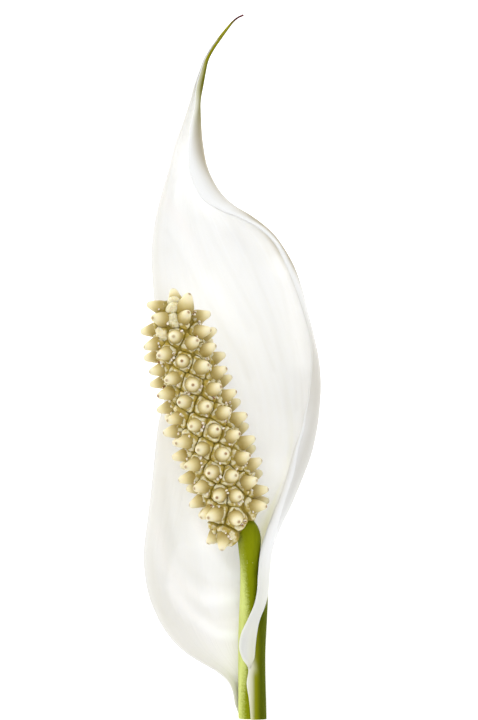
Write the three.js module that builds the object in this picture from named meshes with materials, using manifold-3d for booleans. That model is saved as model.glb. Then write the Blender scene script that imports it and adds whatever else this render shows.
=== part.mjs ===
// A cut peace lily bloom laid on its back: one white spathe, one knobbly spadix and a short green stem.
// Millimetres. +X is the photo's right, +Y points to the spathe's tip and +Z up, away from the table.
import * as THREE from 'three';
import * as BufferGeometryUtils from 'three/addons/utils/BufferGeometryUtils.js';
import Module from 'manifold-3d';

// Driving dimensions
const cutEnd = -72.3;
const middle = { x: -1.55, y: -1.15 };
const blade = { thickness: 0.66, topRow: 53.5, rows: 60, flatBelow: 0.03 };
// Where the section's in-between points lie, as shares of the way from one guide line to the next
const shares = { outer: 0.33, inner: 0.67, side: 0.7, sideRise: 0.28, roll: 0.2, rollRise: 0.62 };
const stemSides = 20;
// The slanting joint of stem and spadix, from the spadix's base: its middle, slant, gap and stem radius
const joint = { up: 1.3, aside: 0.8, tilt: 0.7, gap: 0.3, radius: 2.45 };
const spadixSize = { length: 49.2, pistils: 106, pistilRadius: 1.9, filesAcross: 11 };
// Pistils down the spadix: the height they take up, closer together toward the base, and the first one's angle
const spiral = { spread: 47.71, crowding: 0.048, firstAngle: -2.856 };
// The spadix leans right at its top and left at its base: how far, and from which heights on
const bow = { top: 1.6, topFrom: 38, base: 1.5, baseTo: 12 };
// Pistils stand out square, tilt up within reach of the crown and droop and shrink near the base
const crown = { reach: 6.5, lean: 1.25, shrink: 0.08 };
const foot = { reach: 12, droop: 0.75, shrink: 0.08 };
const chance = { height: 0.15, angle: 0.05, lean: 0.05, size: 0.06 };
const restLean = 0.1;
const rootDepth = 0.1;
const spadixBase = new THREE.Vector3(0.7, -35.2, 10.2);
const spadixTop = new THREE.Vector3(-14.6, 11.2, 13.8);

// Guide lines of the spathe, each key [y, x, z] on the middle of the blade, from the tip down
const leftEdge = [
  [57.6, -8.2, 5.9], [52.8, -9.7, 4.6], [48, -11.2, 3.7], [43.2, -13.0, 2.9], [38.4, -14.2, 2.3],
  [33.6, -15.6, 1.9], [28.8, -16.8, 1.8], [24, -17.5, 1.9], [19.2, -17.6, 2.1], [12, -17.1, 2.6],
  [8.4, -16.8, 2.8], [4, -16.0, 3.0], [-1, -15.2, 3.1], [-5, -14.8, 3.1], [-9, -15.3, 3.1],
  [-12.4, -16.2, 3.1], [-17, -16.8, 3.1], [-24, -17.5, 2.9], [-31, -18.3, 2.6],
  [-38.4, -19.2, 2.3], [-43.2, -19.0, 2.2], [-48, -18.0, 2.4], [-52.8, -15.9, 2.8], [-56.4, -13.4, 3.2],
  [-59, -10.6, 3.6], [-61, -7.4, 3.8], [-62.6, -4.6, 3.8], [-64.6, -2.3, 3.7], [-66.6, -1.3, 3.4],
  [-69.4, -0.75, 2.5], [-72.3, 0.3, 1.0],
];
const midrib = [
  [57.6, -7.2, 5.0], [52.8, -8.1, 3.8], [46, -8.4, 2.2], [39, -8.2, 1.1], [32, -6.6, 0.6], [25.6, -4.0, 0.5],
  [19.6, -1.2, 0.5], [14, 1.6, 0.5], [8, 4.4, 0.5], [2.6, 6.4, 0.35], [-4.4, 9.0, 0.1], [-10.4, 10.4, 0.15],
  [-16.4, 10.6, 0.4], [-22, 9.6, 0.6], [-28.4, 7.2, 0.9], [-35, 5.0, 1.3], [-42, 3.8, 1.3], [-50, 3.0, 1.0],
  [-58, 2.4, 0.5], [-63, 2.2, 0.3], [-68, 2.2, 0.2], [-72.3, 2.2, 0.25],
];
const rightFold = [
  [57.6, -6.8, 5.6], [52.8, -7.9, 4.9], [48, -7.9, 4.2], [43.2, -7.5, 3.8], [38.4, -6.5, 3.6],
  [34, -4.2, 3.7], [31.2, -1.5, 3.9], [28.8, 2.3, 4.2], [26.4, 5.4, 4.5], [24, 7.6, 4.8], [19.2, 10.5, 5.2],
  [14.4, 12.3, 5.6], [9.6, 13.5, 5.9], [4.8, 14.7, 6.1], [0, 15.7, 6.2], [-4.8, 16.1, 6.2], [-9.6, 15.9, 6.1],
  [-14.4, 15.3, 6.0], [-19.2, 14.2, 5.8], [-24, 12.4, 5.5], [-28.8, 10.4, 5.3], [-33.6, 8.1, 5.3],
  [-38.4, 6.4, 5.4], [-45.6, 5.7, 5.2], [-52.8, 5.3, 4.4], [-60, 5.0, 3.6], [-72.3, 5.25, 3.45],
];
const flapEdge = [
  [57.4, -7.8, 7.0], [52.4, -8.3, 6.7], [46.6, -9.5, 6.7], [41.4, -10.0, 6.7], [36.8, -9.4, 6.7],
  [32.2, -6.9, 6.8], [30, -3.4, 6.9], [28.6, 0.2, 7.0], [26.4, 4.3, 7.2], [23.4, 7.4, 7.5], [19.4, 9.5, 8.0],
  [14.4, 11.5, 8.7], [8.6, 13.4, 9.5], [4, 14.5, 10.0], [0.8, 14.7, 10.2], [-2.4, 14.6, 10.4],
  [-7.6, 14.0, 10.5], [-10.6, 13.4, 10.5], [-14.4, 12.6, 10.4], [-18.2, 11.2, 10.3], [-23.6, 9.7, 10.2],
  [-27.8, 8.3, 10.1], [-31, 7.0, 10.5], [-34.2, 5.8, 10.9], [-38.2, 4.6, 11.0], [-43.2, 4.1, 10.3],
  [-46.4, 3.9, 9.4], [-49.2, 3.3, 8.7], [-52.2, 2.0, 8.0], [-55, 0.7, 7.7], [-57.6, 0.3, 7.4],
  [-59.8, 0.9, 7.1], [-61.8, 2.1, 6.8], [-65, 1.9, 6.65], [-68, 2.3, 6.55], [-72.3, 2.6, 6.45],
];
// How far the reflexed margin stands out beyond the flap's edge, [y, across, up]
const flapReach = [
  [57.4, -0.3, 0.05], [8, -0.3, 0.1], [-10, -0.25, 0.2], [-14.4, 0.0, 0.4], [-18.2, 0.55, 0.45],
  [-22, 0.95, 0.4], [-27.8, 1.0, 0.35], [-33.6, 1.7, 0.3], [-38.6, 2.1, 0.1], [-44.4, 2.0, 0.0],
  [-49.8, 2.0, 0.1], [-52.4, 2.2, 0.3], [-55, 2.9, 0.3], [-57.6, 3.0, 0.25], [-59.8, 2.2, 0.3],
  [-61, 0.9, 0.3], [-62.2, -0.2, 0.1], [-72.3, -0.25, 0.0],
];
// Heights of the blade a third and two thirds of the way from the left edge to the midrib
const belly = [
  [57.6, 5.6, 5.2], [48, 2.7, 2.1], [40, 1.1, 0.75], [33, 0.15, 0.2], [26, 0.55, 0.45], [15, 1.3, 0.9],
  [4, 1.6, 0.7], [-4, 1.6, 0.45], [-12, 1.6, 0.6], [-20, 1.6, 1.0], [-28, 1.4, 1.2], [-36, 0.5, 1.4],
  [-42, -0.5, 1.3], [-47, -0.9, 1.1], [-51, -0.4, 0.9],
  [-57, 1.1, 0.9], [-62, 1.8, 0.8], [-66, 1.25, 0.45], [-69.4, 0.92, 0.35], [-72.3, 0.5, 0.3],
];
// Soft folds on the inner face: path [x, y] points, height and half width
const flutes = [
  { path: [[-11.2, 36], [-8.8, 25.4], [-5.8, 18.6], [-1.8, 13.4], [2.2, 6.6]], height: -0.28, width: 1.8 },
  { path: [[-14, 22], [-8.4, 13.6], [-1.8, 3.6], [2.2, -3]], height: -0.22, width: 1.8 },
  { path: [[-15.6, 33], [-11, 27], [-7.2, 20.4]], height: 0.3, width: 2.2 },
  { path: [[-3.8, 26], [-0.2, 19.4]], height: 0.22, width: 1.4 },
  { path: [[-16.6, -34], [-14.8, -41.6], [-11.4, -45.4], [-6.8, -48.6], [-1, -48]], height: 0.5, width: 1.9 },
  { path: [[-13.8, -45.8], [-9.6, -51.4], [-4.4, -55.2], [-1, -55.6]], height: 0.35, width: 1.5 },
  { path: [[-8, -33.4], [-5.2, -38.2], [-2.4, -42.4], [0, -43.4]], height: 0.4, width: 1.5 },
];

// Value between keys by a smooth curve through them; keys run from high y to low y
function along(keys, y) {
  const last = keys.length - 1;
  if (y >= keys[0][0]) return keys[0].slice(1);
  if (y <= keys[last][0]) return keys[last].slice(1);
  let i = 0;
  while (keys[i + 1][0] > y) i += 1;
  const [start, end] = [keys[i], keys[i + 1]];
  const before = keys[Math.max(i - 1, 0)];
  const after = keys[Math.min(i + 2, last)];
  const span = end[0] - start[0];
  const t = (y - start[0]) / span;
  return start.slice(1).map((value, c) => {
    const p = c + 1;
    const slopeIn = (end[p] - before[p]) / (end[0] - before[0]);
    const slopeOut = (after[p] - start[p]) / (after[0] - start[0]);
    const t2 = t * t;
    const t3 = t2 * t;
    return value * (2 * t3 - 3 * t2 + 1) + slopeIn * span * (t3 - 2 * t2 + t)
      + end[p] * (3 * t2 - 2 * t3) + slopeOut * span * (t3 - t2);
  });
}

// Blade section at one height, as nine points from the left edge round to the free margin
function sectionAt(y) {
  const [leftX, leftZ] = along(leftEdge, y);
  const [ribX, ribZ] = along(midrib, y);
  const [foldX, foldZ] = along(rightFold, y);
  const [flapX, flapZ] = along(flapEdge, y);
  const [reachX, reachZ] = along(flapReach, y);
  const [outerZ, innerZ] = along(belly, y);
  const mix = THREE.MathUtils.lerp;
  const points = [
    [leftX, leftZ],
    [mix(leftX, ribX, shares.outer), outerZ],
    [mix(leftX, ribX, shares.inner), innerZ],
    [ribX, ribZ],
    [mix(ribX, foldX, shares.side), mix(ribZ, foldZ, shares.sideRise)],
    [foldX, foldZ],
    [mix(foldX, flapX, shares.roll), mix(foldZ, flapZ, shares.rollRise)],
    [flapX, flapZ],
    [flapX + reachX, flapZ + reachZ],
  ];
  return new THREE.CatmullRomCurve3(points.map(([x, z]) => new THREE.Vector3(x, y, z)), false, 'centripetal');
}

function distanceToPath(x, y, path) {
  let nearest = Infinity;
  for (let i = 0; i + 1 < path.length; i += 1) {
    const [ax, ay] = path[i];
    const [bx, by] = path[i + 1];
    const share = ((x - ax) * (bx - ax) + (y - ay) * (by - ay)) / ((bx - ax) ** 2 + (by - ay) ** 2);
    const t = THREE.MathUtils.clamp(share, 0, 1);
    nearest = Math.min(nearest, Math.hypot(x - ax - t * (bx - ax), y - ay - t * (by - ay)));
  }
  return nearest;
}

function fluteLift(x, y) {
  let lift = 0;
  for (const flute of flutes) {
    const near = distanceToPath(x, y, flute.path) / flute.width;
    lift += flute.height * Math.exp(-near * near);
  }
  return lift;
}

// Across the section, in steps of one control point, closer together at the folds
const columns = [
  0, 0.3, 0.65, 1, 1.35, 1.7, 2, 2.35, 2.7, 3, 3.35, 3.7, 4, 4.35, 4.65, 4.85, 5, 5.15, 5.35, 5.65, 6,
  6.35, 6.65, 6.85, 7, 7.2, 7.5, 8,
];
const sections = 8;
// The soft folds die out across these columns: up from the left edge, down past the midrib
const foldsFrom = [0, 0.6];
const foldsTo = [3, 4.2];

// Middle surface of the blade as rows of points
function bladeRows() {
  const rows = [];
  for (let r = 0; r <= blade.rows; r += 1) {
    const y = THREE.MathUtils.lerp(blade.topRow, cutEnd, r / blade.rows);
    const curve = sectionAt(y);
    rows.push(columns.map((c) => {
      const point = curve.getPoint(c / sections);
      const rising = THREE.MathUtils.smoothstep(c, ...foldsFrom);
      const fading = 1 - THREE.MathUtils.smoothstep(c, ...foldsTo);
      point.z += fluteLift(point.x, y) * rising * fading;
      point.z = Math.max(point.z, blade.thickness / 2);
      return point;
    }));
  }
  return rows;
}

// A closed blade: the middle surface moved half a thickness to both sides, joined round its rim
function thickened(rows, thickness) {
  const across = rows[0].length;
  const down = rows.length;
  const at = (r, c) => rows[THREE.MathUtils.clamp(r, 0, down - 1)][THREE.MathUtils.clamp(c, 0, across - 1)];
  const vertices = [];
  for (const side of [1, -1]) {
    for (let r = 0; r < down; r += 1) {
      for (let c = 0; c < across; c += 1) {
        const alongRow = at(r, c + 1).clone().sub(at(r, c - 1));
        const alongColumn = at(r - 1, c).clone().sub(at(r + 1, c));
        const normal = alongRow.cross(alongColumn);
        normal.y = r === 0 || r === down - 1 ? 0 : normal.y;
        normal.normalize();
        const point = at(r, c).clone().addScaledVector(normal, side * thickness / 2);
        if (point.z < blade.flatBelow) point.z = 0;
        vertices.push(point.x, point.y, point.z);
      }
    }
  }
  const faces = [];
  const top = (r, c) => r * across + c;
  const under = (r, c) => across * down + r * across + c;
  for (let r = 0; r + 1 < down; r += 1) {
    for (let c = 0; c + 1 < across; c += 1) {
      faces.push(top(r, c), top(r + 1, c), top(r + 1, c + 1));
      faces.push(top(r, c), top(r + 1, c + 1), top(r, c + 1));
      faces.push(under(r, c), under(r + 1, c + 1), under(r + 1, c));
      faces.push(under(r, c), under(r, c + 1), under(r + 1, c + 1));
    }
  }
  const rim = [];
  for (let c = 0; c < across - 1; c += 1) rim.push([0, c]);
  for (let r = 0; r < down - 1; r += 1) rim.push([r, across - 1]);
  for (let c = across - 1; c > 0; c -= 1) rim.push([down - 1, c]);
  for (let r = down - 1; r > 0; r -= 1) rim.push([r, 0]);
  rim.forEach(([r, c], i) => {
    const [nextR, nextC] = rim[(i + 1) % rim.length];
    faces.push(top(r, c), top(nextR, nextC), under(nextR, nextC));
    faces.push(top(r, c), under(nextR, nextC), under(r, c));
  });
  return closedShape(vertices, faces);
}

function closedShape(vertices, faces) {
  const geometry = new THREE.BufferGeometry();
  geometry.setAttribute('position', new THREE.Float32BufferAttribute(vertices, 3));
  geometry.setIndex(faces);
  return geometry;
}

// A round rod through given centres, with its own radius at each, closed flat at both ends
function rod(centres, radii, sides, startAim, endAim) {
  const vertices = [];
  const faces = [];
  const rings = centres.length;
  const sideways = new THREE.Vector3(1, 0, 0);
  centres.forEach((centre, i) => {
    const aim = centres[Math.min(i + 1, rings - 1)].clone().sub(centres[Math.max(i - 1, 0)]).normalize();
    if (i === 0 && startAim) aim.copy(startAim);
    if (i === rings - 1 && endAim) aim.copy(endAim);
    const out = sideways.clone().addScaledVector(aim, -sideways.dot(aim)).normalize();
    const up = new THREE.Vector3().crossVectors(aim, out);
    for (let s = 0; s < sides; s += 1) {
      const angle = 2 * Math.PI * s / sides;
      const point = centre.clone().addScaledVector(out, Math.cos(angle) * radii[i]);
      point.addScaledVector(up, Math.sin(angle) * radii[i]);
      vertices.push(point.x, point.y, point.z);
    }
  });
  for (let i = 0; i + 1 < rings; i += 1) {
    for (let s = 0; s < sides; s += 1) {
      const a = i * sides + s;
      const b = i * sides + (s + 1) % sides;
      faces.push(a, b, b + sides, a, b + sides, a + sides);
    }
  }
  const last = (rings - 1) * sides;
  for (let s = 1; s + 1 < sides; s += 1) {
    faces.push(0, s + 1, s);
    faces.push(last, last + s, last + s + 1);
  }
  return closedShape(vertices, faces);
}

const wasm = await Module();
wasm.setup();

function toSolid(geometry) {
  const plain = geometry.clone();
  plain.deleteAttribute('normal');
  plain.deleteAttribute('uv');
  const merged = BufferGeometryUtils.mergeVertices(plain, 1e-4);
  return new wasm.Manifold(new wasm.Mesh({
    numProp: 3,
    vertProperties: new Float32Array(merged.attributes.position.array),
    triVerts: new Uint32Array(merged.index.array),
  }));
}

function toGeometry(solid) {
  const mesh = solid.getMesh();
  return closedShape(Array.from(mesh.vertProperties), Array.from(mesh.triVerts));
}

// Local +Z runs up the spadix and local -Y faces up from the table
function spadixFrame() {
  const axis = spadixTop.clone().sub(spadixBase).normalize();
  const back = new THREE.Vector3(0, 0, -1).addScaledVector(axis, axis.z).normalize();
  const across = new THREE.Vector3().crossVectors(back, axis);
  const frame = new THREE.Matrix4().makeBasis(across, back, axis);
  frame.setPosition(spadixBase);
  return frame;
}

// The joint's middle and the way it faces, in the spadix's own frame
function jointMiddle() {
  return new THREE.Vector3(joint.aside, 0, joint.up);
}

function jointAim() {
  return new THREE.Vector3(-Math.sin(joint.tilt), 0, Math.cos(joint.tilt));
}

// Stem: a smooth rod cut square at its foot, swelling where it carries the spadix
const stemKeys = [
  [-36, 2.05, 10.1, 2.35], [-38, 2.1, 9.55, 2.2], [-40.5, 2.25, 8.5, 2.08], [-44, 2.3, 7.0, 2.06],
  [-48, 2.25, 5.55, 2.1], [-52, 2.16, 4.5, 2.18], [-56, 2.1, 3.8, 2.24], [-60, 2.1, 3.45, 2.26],
  [-66, 2.1, 3.4, 2.26], [-72.3, 2.12, 3.4, 2.24],
];

function stemGeometry() {
  const top = jointMiddle().addScaledVector(jointAim(), -joint.gap).applyMatrix4(spadixFrame());
  const topAim = jointAim().transformDirection(spadixFrame());
  const centres = [top];
  const radii = [joint.radius];
  const spacing = 2.35;
  for (let y = stemKeys[0][0]; y > cutEnd + 0.2 * spacing; y -= spacing) {
    const [x, z, radius] = along(stemKeys, y);
    centres.push(new THREE.Vector3(x, y, z));
    radii.push(radius);
  }
  const [endX, endZ, endRadius] = along(stemKeys, cutEnd);
  centres.push(new THREE.Vector3(endX, cutEnd, endZ));
  radii.push(endRadius);
  return rod(centres, radii, stemSides, topAim.negate(), new THREE.Vector3(0, -1, 0));
}

// Spathe: the blade with a tapering tip that curls over to one side and ends in a thread
function spatheGeometry() {
  const tipKeys = [
    [49, -9.2, 4.6, 0.75], [53, -8.7, 4.9, 1.05], [57.6, -7.5, 5.8, 0.8], [60.4, -6.6, 6.5, 0.62],
    [62.8, -5.2, 7.1, 0.52], [64.8, -3.7, 7.6, 0.44], [66.6, -2.3, 8.0, 0.36], [67.9, -1.2, 8.3, 0.32],
    [68.7, -0.2, 8.5, 0.3], [69.2, 0.9, 8.6, 0.3],
  ];
  const centres = tipKeys.map(([y, x, z]) => new THREE.Vector3(x, y, z));
  const curve = new THREE.CatmullRomCurve3(centres, false, 'centripetal');
  const stepsPerKey = 3;
  const steps = stepsPerKey * (tipKeys.length - 1);
  const points = [];
  const radii = [];
  for (let i = 0; i <= steps; i += 1) {
    points.push(curve.getPoint(i / steps));
    const k = Math.min(Math.floor(i / stepsPerKey), tipKeys.length - 2);
    radii.push(THREE.MathUtils.lerp(tipKeys[k][3], tipKeys[k + 1][3], i / stepsPerKey - k));
  }
  const tip = toSolid(rod(points, radii, 10));
  const body = toSolid(thickened(bladeRows(), blade.thickness));
  return toGeometry(body.add(tip));
}

// Seeded numbers between -1 and 1
function scatter(seed) {
  let state = seed;
  return () => {
    state = (state * 1664525 + 1013904223) % 4294967296;
    return state / 2147483648 - 1;
  };
}

// Spadix: a blunt core set with pistils on a spiral of eleven upright files
const coreProfile = [
  [0, 2.6], [0.7, 3.3], [2, 3.9], [4.5, 4.6], [12, 5.2], [26, 5.2], [37, 4.8], [43.5, 4.2], [46.5, 3.5],
  [48.5, 2.3], [49.2, 0.8],
];
const coreKeys = coreProfile.map(([height, radius]) => [-height, radius]);
// How the files of pistils wander round the spadix: height, angle
const fileDrift = [[48.6, -0.08], [39.2, -0.08], [29.7, 0.1], [20.3, 0.24], [10.8, 0.26], [1.4, 0.08]];
// The base is oblique: no pistils below this height, which is greatest at the given angle
const bareBase = { height: 2.6, slope: 1.4, angle: 1.6 };
// Pistils of the crown and the base that stand apart from the rule, by number: height, angle, lean and size
const apart = new Map([
  [1, [47.8, 2.9, 1.2, 1.08]], [2, [46.9, 0.75, 0.8, 1.15]], [4, [48.4, -1.6, 0.6, 0.95]],
  [5, [46, -2.5, 0.2, 0.95]], [7, [44.6, 1.6, -0.1, 1]], [9, [46.3, -0.7, 0.35, 1]],
  [13, [41.8, 1.05, -0.1, 1.02]],
  [91, [8.6, 0.25, -0.05, 1]], [96, [5.3, 1.1, -0.25, 0.95]], [97, [6.2, -0.65, 0, 1.05]],
  [98, [2.4, -1.3, -0.6, 0.85]], [100, [4.4, 2.75, -0.3, 0.9]], [102, [4.4, 0.1, -0.2, 1.05]],
  [103, [1.4, -0.7, -0.85, 0.95]],
]);
const missing = [0, 3];
// The core's first upright ring stands clear of the slanting joint
const firstRing = 3.3;

function coreRadiusAt(height) {
  return along(coreKeys, -height)[0];
}

function bowAt(height) {
  const above = Math.max(0, (height - bow.topFrom) / (spadixSize.length - bow.topFrom));
  const below = Math.max(0, (bow.baseTo - height) / bow.baseTo);
  return bow.top * above * above - bow.base * below * below;
}

function pistil(size) {
  const profile = [[-0.9, 1.03], [0.7, 1.0], [2.3, 0.69], [3.4, 0.29]];
  const centres = profile.map(([h]) => new THREE.Vector3(0, 0, h * size));
  const radii = profile.map(([, share]) => share * spadixSize.pistilRadius * size);
  return rod(centres, radii, 6);
}

function spadixGeometry() {
  const rand = scatter(5);
  const rings = 19;
  const centres = [jointMiddle()];
  const radii = [coreRadiusAt(0)];
  for (let i = 0; i <= rings; i += 1) {
    const height = THREE.MathUtils.lerp(firstRing, spadixSize.length, i / rings);
    centres.push(new THREE.Vector3(bowAt(height), 0, height));
    radii.push(coreRadiusAt(height));
  }
  const upright = new THREE.Vector3(0, 0, 1);
  const parts = [toSolid(rod(centres, radii, 16, jointAim(), upright))];
  const turn = 2 * (2 * Math.PI) / spadixSize.filesAcross;
  for (let n = 0; n < spadixSize.pistils; n += 1) {
    const luck = [rand(), rand(), rand(), rand()];
    const share = n / (spadixSize.pistils - 1);
    const fromTop = spiral.spread * (share * (1 + spiral.crowding) - spiral.crowding * share * share);
    let height = spadixSize.length - fromTop + luck[0] * chance.height;
    let angle = spiral.firstAngle + along(fileDrift, height)[0] - n * turn + luck[1] * chance.angle;
    const nearTop = Math.max(0, 1 - fromTop / crown.reach);
    const nearBase = Math.max(0, 1 - height / foot.reach);
    let lean = restLean + crown.lean * nearTop * nearTop - foot.droop * nearBase + luck[2] * chance.lean;
    let size = (1 + luck[3] * chance.size) * (1 - foot.shrink * nearBase - crown.shrink * nearTop);
    if (apart.has(n)) [height, angle, lean, size] = apart.get(n);
    else if (height < bareBase.height + bareBase.slope * Math.cos(angle - bareBase.angle)) continue;
    if (missing.includes(n)) continue;
    const cone = pistil(size);
    const outward = new THREE.Vector3(Math.sin(angle), -Math.cos(angle), 0);
    const aim = outward.clone().multiplyScalar(Math.cos(lean)).addScaledVector(upright, Math.sin(lean));
    const seat = outward.clone().multiplyScalar(coreRadiusAt(height) - rootDepth);
    seat.x += bowAt(height);
    seat.z = height;
    const turnTo = new THREE.Quaternion().setFromUnitVectors(upright, aim);
    cone.applyQuaternion(turnTo);
    cone.translate(seat.x, seat.y, seat.z);
    parts.push(toSolid(cone));
  }
  const whole = wasm.Manifold.union(parts);
  const geometry = toGeometry(whole);
  geometry.applyMatrix4(spadixFrame());
  return geometry;
}

function petalMaterial(colour, roughness) {
  return new THREE.MeshStandardMaterial({ color: colour, roughness, metalness: 0 });
}

function part(name, geometry, material) {
  const flat = geometry.toNonIndexed();
  flat.computeVertexNormals();
  const mesh = new THREE.Mesh(flat, material);
  mesh.name = name;
  mesh.position.set(-middle.x, -middle.y, 0);
  return mesh;
}

const group = new THREE.Group();
group.name = 'peace_lily_bloom';
group.add(part('stem', stemGeometry(), petalMaterial('#8f9a12', 0.5)));
group.add(part('spathe', spatheGeometry(), petalMaterial('#f4f2ea', 0.55)));
group.add(part('spadix', spadixGeometry(), petalMaterial('#d8cb92', 0.6)));

export default group;
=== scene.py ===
import math
import random
import bmesh
import bpy
from mathutils import Matrix, Vector, noise


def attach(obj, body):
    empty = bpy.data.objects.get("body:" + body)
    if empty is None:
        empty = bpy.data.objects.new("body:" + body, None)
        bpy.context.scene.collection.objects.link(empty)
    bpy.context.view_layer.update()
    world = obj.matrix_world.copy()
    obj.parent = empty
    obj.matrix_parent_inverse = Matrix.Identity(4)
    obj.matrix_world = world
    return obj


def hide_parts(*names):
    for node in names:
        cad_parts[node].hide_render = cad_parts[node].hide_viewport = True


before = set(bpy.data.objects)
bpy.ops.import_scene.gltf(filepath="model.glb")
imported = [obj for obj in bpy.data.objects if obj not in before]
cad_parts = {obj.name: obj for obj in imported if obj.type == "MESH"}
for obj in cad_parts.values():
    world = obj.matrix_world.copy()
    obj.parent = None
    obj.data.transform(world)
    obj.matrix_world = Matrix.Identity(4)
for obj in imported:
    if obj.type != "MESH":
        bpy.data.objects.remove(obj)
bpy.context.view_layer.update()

print("Peace lily bloom: CAD frame loaded")

mm = 0.001
# All in mm. The guide lines are measured from the photo's middle; the part stands shiftX further right and
# shiftY further up. Points of a grid that lie within seamGap of each other are merged.
shiftX, shiftY = 1.55, 1.15
cutEnd = -72.3
seamGap = 1e-4


def lerp(a, b, t):
    return a + (b - a) * t


def smoothstep(low, high, x):
    t = min(max((x - low) / (high - low), 0.0), 1.0)
    return t * t * (3 - 2 * t)


def bell(x, width):
    return math.exp(-(x / width) ** 2)


def place(x, y, z):
    return Vector(((x + shiftX) * mm, (y + shiftY) * mm, z * mm))


# Value between keys by a smooth curve through them; keys run from high y to low y
def along(keys, y):
    if y >= keys[0][0]:
        return keys[0][1:]
    if y <= keys[-1][0]:
        return keys[-1][1:]
    i = 0
    while keys[i + 1][0] > y:
        i += 1
    before, start, end = keys[max(i - 1, 0)], keys[i], keys[i + 1]
    after = keys[min(i + 2, len(keys) - 1)]
    span = end[0] - start[0]
    t = (y - start[0]) / span
    t2 = t * t
    t3 = t2 * t
    values = []
    for c in range(1, len(start)):
        slopeIn = (end[c] - before[c]) / (end[0] - before[0])
        slopeOut = (after[c] - start[c]) / (after[0] - start[0])
        values.append(start[c] * (2 * t3 - 3 * t2 + 1) + slopeIn * span * (t3 - 2 * t2 + t)
                      + end[c] * (3 * t2 - 2 * t3) + slopeOut * span * (t3 - t2))
    return values


# Point on a smooth curve through points of any size, t from 0 to 1
def curvePoint(points, t):
    last = len(points) - 1
    reached = min(max(t, 0.0), 1.0) * last
    i = min(int(reached), last - 1)
    share = reached - i
    p1, p2 = points[i], points[i + 1]
    p0 = points[i - 1] if i > 0 else [2 * a - b for a, b in zip(p1, p2)]
    p3 = points[i + 2] if i + 2 <= last else [2 * b - a for a, b in zip(p1, p2)]

    def gap(a, b, spare):
        wide = sum((u - v) ** 2 for u, v in zip(a, b)) ** 0.25
        return wide if wide > 1e-4 else spare

    d1 = gap(p1, p2, 1.0)
    d0 = gap(p0, p1, d1)
    d2 = gap(p2, p3, d1)
    found = []
    for x0, x1, x2, x3 in zip(p0, p1, p2, p3):
        m1 = ((x1 - x0) / d0 - (x2 - x0) / (d0 + d1) + (x2 - x1) / d1) * d1
        m2 = ((x2 - x1) / d1 - (x3 - x1) / (d1 + d2) + (x3 - x2) / d2) * d1
        c2 = -3 * x1 + 3 * x2 - 2 * m1 - m2
        c3 = 2 * x1 - 2 * x2 + m1 + m2
        found.append(x1 + share * (m1 + share * (c2 + share * c3)))
    return found


# A grid of faces laid out in mm by a shape function; u runs across and v along, both 0 to 1. A wrapped grid
# is closed at its seam and its poles.
def shapedGrid(bm, across, down, shape, wrap=False):
    uv = bm.loops.layers.uv.get("lay") or bm.loops.layers.uv.new("lay")
    made = bmesh.ops.create_grid(bm, x_segments=across, y_segments=down, size=1.0)
    verts = made["verts"]
    faces = {face for vert in verts for face in vert.link_faces}
    spots = {vert: ((vert.co.x + 1) / 2, (vert.co.y + 1) / 2) for vert in verts}
    for face in faces:
        for loop in face.loops:
            loop[uv].uv = spots[loop.vert]
        face.smooth = True
    for vert, (u, v) in spots.items():
        vert.co = shape(u, v)
    if wrap:
        bmesh.ops.remove_doubles(bm, verts=verts, dist=seamGap)
    return [face for face in faces if face.is_valid], spots


def makePiece(name, bm, material, node):
    mesh = bpy.data.meshes.new(name)
    bm.to_mesh(mesh)
    bm.free()
    mesh.materials.append(material)
    piece = bpy.data.objects.new(name, mesh)
    bpy.context.scene.collection.objects.link(piece)
    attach(piece, "root")
    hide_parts(node)
    return piece


# The same for a solid thing's skin, with its faces turned outwards first
def makeSolid(name, bm, material, node):
    bmesh.ops.recalc_face_normals(bm, faces=bm.faces)
    makePiece(name, bm, material, node)


# Carries a small shape from its own frame to its place in the bloom
def setDown(faces, matrix):
    for vert in {vert for face in faces for vert in face.verts}:
        vert.co = place(*(matrix @ vert.co))


# A socket that can be added, multiplied and so on
class Signal:
    def __init__(self, graph, socket):
        self.graph = graph
        self.socket = socket

    def __add__(self, other):
        return self.graph.maths("ADD", self, other)

    def __radd__(self, other):
        return self.graph.maths("ADD", other, self)

    def __sub__(self, other):
        return self.graph.maths("SUBTRACT", self, other)

    def __rsub__(self, other):
        return self.graph.maths("SUBTRACT", other, self)

    def __mul__(self, other):
        return self.graph.maths("MULTIPLY", self, other)

    def __rmul__(self, other):
        return self.graph.maths("MULTIPLY", other, self)

    def __pow__(self, other):
        return self.graph.maths("POWER", self, other)


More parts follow.
